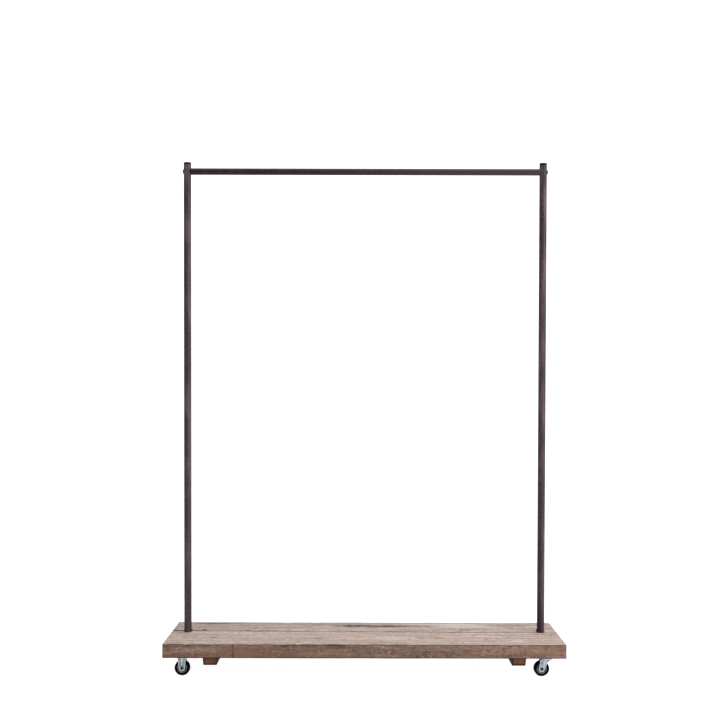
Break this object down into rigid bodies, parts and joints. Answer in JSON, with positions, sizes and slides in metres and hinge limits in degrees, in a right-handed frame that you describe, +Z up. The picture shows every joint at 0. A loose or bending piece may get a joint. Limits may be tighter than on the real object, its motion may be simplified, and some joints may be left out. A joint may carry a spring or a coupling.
{
  "type": "rolling clothes rack",
  "caption": "Clothes rack: weathered plank deck on battens and casters, a dark tube upright at each end and a dark hanging rail between them.",
  "frame": {"origin": "on the floor, under the middle of the deck", "axes": "+X to the rack's right along the rail, +Y to the back, +Z up"},
  "size_m": [1.3, 0.36, 1.69],
  "materials": {
    "front_plank_wood": "weathered, oiled only by use, satin to matt",
    "back_plank_wood": "weathered, greyer than the front plank, matt",
    "batten_wood": "sawn, brown, matt",
    "tube_metal": "dark brown-black, satin",
    "rail_metal": "dark brown-black, satin",
    "cap_plastic": "moulded black, soft satin",
    "dark_bolt": "blackened steel, satin",
    "zinc_plate": "zinc plated pressed steel",
    "axle_steel": "zinc plated, dulled",
    "turned_steel": "turned, bare",
    "plate_steel": "dark satin coat",
    "screw_steel": "zinc plated",
    "ball_steel": "polished",
    "wheel_core": "grey-blue moulded, satin",
    "tyre_rubber": "black, semi-matt"
  },
  "bodies": {
    "rack": {"front_plank": "front_plank_wood", "back_plank": "back_plank_wood", "top_rail": "rail_metal", "left_batten": "batten_wood", "left_batten_screws": "screw_steel", "left_upright": "tube_metal", "left_top_cap": "cap_plastic", "left_rail_insert": "turned_steel", "left_rail_bolt": "dark_bolt", "left_foot_plate": "plate_steel", "left_foot_spigot": "turned_steel", "left_foot_lock_screw": "dark_bolt", "left_foot_plate_screws": "screw_steel", "right_batten": "batten_wood", "right_batten_screws": "screw_steel", "right_upright": "tube_metal", "right_top_cap": "cap_plastic", "right_rail_insert": "turned_steel", "right_rail_bolt": "dark_bolt", "right_foot_plate": "plate_steel", "right_foot_spigot": "turned_steel", "right_foot_lock_screw": "dark_bolt", "right_foot_plate_screws": "screw_steel", "front_left_bracket": "zinc_plate", "front_left_axle_rivet": "axle_steel", "front_left_axle_sleeve": "turned_steel", "front_left_caster_screws": "screw_steel", "front_right_top_plate": "zinc_plate", "front_right_race_balls": "ball_steel", "front_right_kingpin": "turned_steel", "front_right_caster_screws": "screw_steel", "rear_left_bracket": "zinc_plate", "rear_left_axle_rivet": "axle_steel", "rear_left_axle_sleeve": "turned_steel", "rear_left_caster_screws": "screw_steel", "rear_right_top_plate": "zinc_plate", "rear_right_race_balls": "ball_steel", "rear_right_kingpin": "turned_steel", "rear_right_caster_screws": "screw_steel"},
    "front_left_wheel_body": {"front_left_wheel_core": "wheel_core", "front_left_tyre": "tyre_rubber"},
    "front_right_fork_body": {"front_right_fork": "zinc_plate", "front_right_axle_rivet": "axle_steel", "front_right_axle_sleeve": "turned_steel"},
    "front_right_wheel_body": {"front_right_wheel_core": "wheel_core", "front_right_tyre": "tyre_rubber"},
    "rear_left_wheel_body": {"rear_left_wheel_core": "wheel_core", "rear_left_tyre": "tyre_rubber"},
    "rear_right_fork_body": {"rear_right_fork": "zinc_plate", "rear_right_axle_rivet": "axle_steel", "rear_right_axle_sleeve": "turned_steel"},
    "rear_right_wheel_body": {"rear_right_wheel_core": "wheel_core", "rear_right_tyre": "tyre_rubber"}
  },
  "joints": [
    {"name": "front_left_wheel_spin", "type": "hinge", "parent": "rack", "child": "front_left_wheel_body", "pos_m": [-0.594, -0.111, 0.025], "axis": [0, 1, 0], "continuous": true},
    {"name": "front_right_swivel", "type": "hinge", "parent": "rack", "child": "front_right_fork_body", "pos_m": [0.594, -0.111, 0.06], "axis": [0, 0, 1], "continuous": true},
    {"name": "front_right_wheel_spin", "type": "hinge", "parent": "front_right_fork_body", "child": "front_right_wheel_body", "pos_m": [0.578, -0.111, 0.025], "axis": [0, 1, 0], "continuous": true},
    {"name": "rear_left_wheel_spin", "type": "hinge", "parent": "rack", "child": "rear_left_wheel_body", "pos_m": [-0.594, 0.141, 0.025], "axis": [0, 1, 0], "continuous": true},
    {"name": "rear_right_swivel", "type": "hinge", "parent": "rack", "child": "rear_right_fork_body", "pos_m": [0.594, 0.141, 0.06], "axis": [0, 0, 1], "continuous": true},
    {"name": "rear_right_wheel_spin", "type": "hinge", "parent": "rear_right_fork_body", "child": "rear_right_wheel_body", "pos_m": [0.578, 0.141, 0.025], "axis": [0, 1, 0], "continuous": true}
  ]
}
